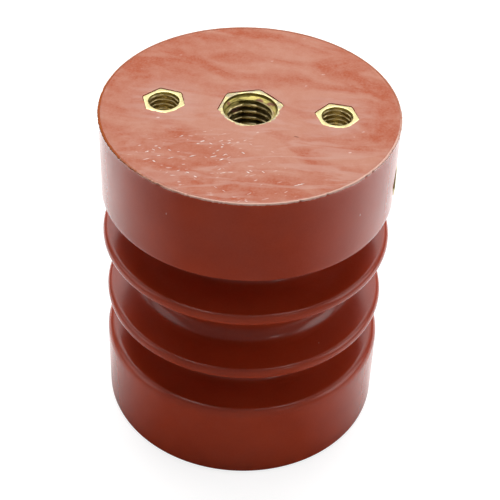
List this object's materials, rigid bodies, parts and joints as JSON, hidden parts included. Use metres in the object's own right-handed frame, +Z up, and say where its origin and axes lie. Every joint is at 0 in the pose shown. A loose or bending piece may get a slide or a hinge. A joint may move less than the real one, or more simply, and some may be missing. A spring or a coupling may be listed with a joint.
{
  "type": "cast-resin post insulator",
  "caption": "Short cylindrical post insulator of brown-red cast resin with two sheds between plain end drums, cast-in threaded brass inserts and a signal tap on its side.",
  "frame": {"origin": "centre of the underside of the base drum, where the post's axis leaves it", "axes": "+Z up along the post's axis; +X towards the side tap, so the three top inserts lie along X"},
  "size_m": [0.07, 0.07, 0.087],
  "materials": {
    "resin": "brown-red silica-filled cast epoxy, glossy off the mould, with a paler satin top face",
    "brass": "machined hex bar, dull olive inside the threads",
    "copper": "plain rolled strip, sealed inside the resin"
  },
  "bodies": {
    "root": {"resin_body": "resin", "top_center_insert": "brass", "top_left_insert": "brass", "top_right_insert": "brass", "side_tap_insert": "brass", "base_center_insert": "brass", "coupling_ring": "copper", "tap_lead": "copper"}
  },
  "joints": []
}
